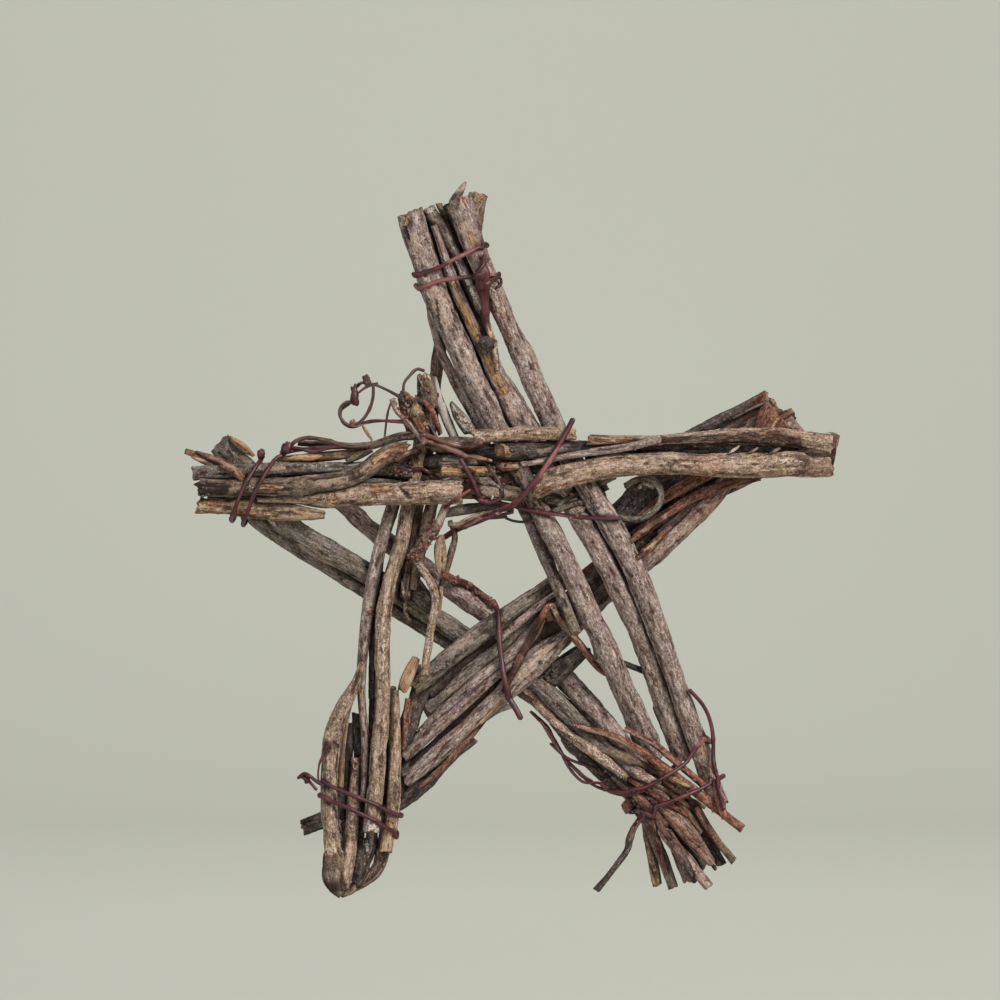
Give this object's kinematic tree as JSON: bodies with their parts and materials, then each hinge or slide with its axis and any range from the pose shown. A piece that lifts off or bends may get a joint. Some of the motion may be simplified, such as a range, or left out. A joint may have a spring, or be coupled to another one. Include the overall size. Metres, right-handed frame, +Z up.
{
  "type": "twig star ornament",
  "caption": "Five-pointed hanging star of bundled bark-covered twigs, bound near its points with thin dark red vine, and hung flat against a door or wall.",
  "frame": {"origin": "inside the top of the star under its binding, where a nail or thread holds it", "axes": "+Z up toward the top point, +X to the viewer's right, front of the star toward -Y"},
  "size_m": [0.249, 0.05, 0.2673],
  "materials": {
    "grey_bark": "rough grey bark",
    "brown_bark": "rough brown bark",
    "dark_bark": "rough, nearly black bark",
    "rose_bark": "rough bark with a worn pinkish cast",
    "pale_bark": "pale grey-brown bark, dry and matte",
    "bare_tan_wood": "peeled tan wood, dry and matte",
    "rust_bark": "thin reddish-brown bark",
    "dark_red_vine": "smooth dark red vine, slightly glossy"
  },
  "bodies": {
    "root": {"crossbar_1": "bare_tan_wood", "crossbar_2": "brown_bark", "crossbar_3": "grey_bark", "crossbar_4": "pale_bark", "crossbar_5": "rose_bark", "crossbar_6": "pale_bark", "crossbar_7": "dark_bark", "crossbar_8": "rose_bark", "crossbar_9": "bare_tan_wood", "crossbar_10": "brown_bark", "crossbar_11": "bare_tan_wood", "left_leg_1": "pale_bark", "left_leg_2": "rose_bark", "left_leg_3": "rose_bark", "left_leg_4": "bare_tan_wood", "left_leg_5": "pale_bark", "left_leg_6": "pale_bark", "left_leg_7": "pale_bark", "left_leg_8": "pale_bark", "left_leg_9": "brown_bark", "left_leg_11": "brown_bark", "left_slope_1": "grey_bark", "left_slope_2": "grey_bark", "left_slope_3": "rose_bark", "left_slope_4": "rust_bark", "left_slope_5": "rust_bark", "left_slope_6": "rust_bark", "left_slope_7": "rose_bark", "left_slope_8": "pale_bark", "left_slope_10": "dark_bark", "left_slope_11": "brown_bark", "left_slope_12": "brown_bark", "right_leg_1": "rose_bark", "right_leg_2": "bare_tan_wood", "right_leg_3": "rose_bark", "right_leg_4": "grey_bark", "right_leg_5": "grey_bark", "right_leg_6": "dark_bark", "right_leg_7": "brown_bark", "right_slope_1": "rose_bark", "right_slope_2": "dark_bark", "right_slope_3": "brown_bark", "right_slope_4": "rust_bark", "right_slope_5": "pale_bark", "right_slope_6": "pale_bark", "right_slope_7": "pale_bark", "right_slope_8": "rust_bark", "right_slope_9": "dark_bark", "right_slope_10": "grey_bark", "right_slope_11": "grey_bark", "top_binding": "dark_red_vine", "left_binding": "dark_red_vine", "lower_left_binding": "dark_red_vine", "lower_right_binding": "dark_red_vine", "top_strip": "dark_red_vine", "crossbar_vine": "dark_red_vine", "right_leg_vine": "dark_red_vine", "crossing_vine": "dark_red_vine", "side_vine": "dark_red_vine", "tendril": "dark_red_vine"}
  },
  "joints": []
}
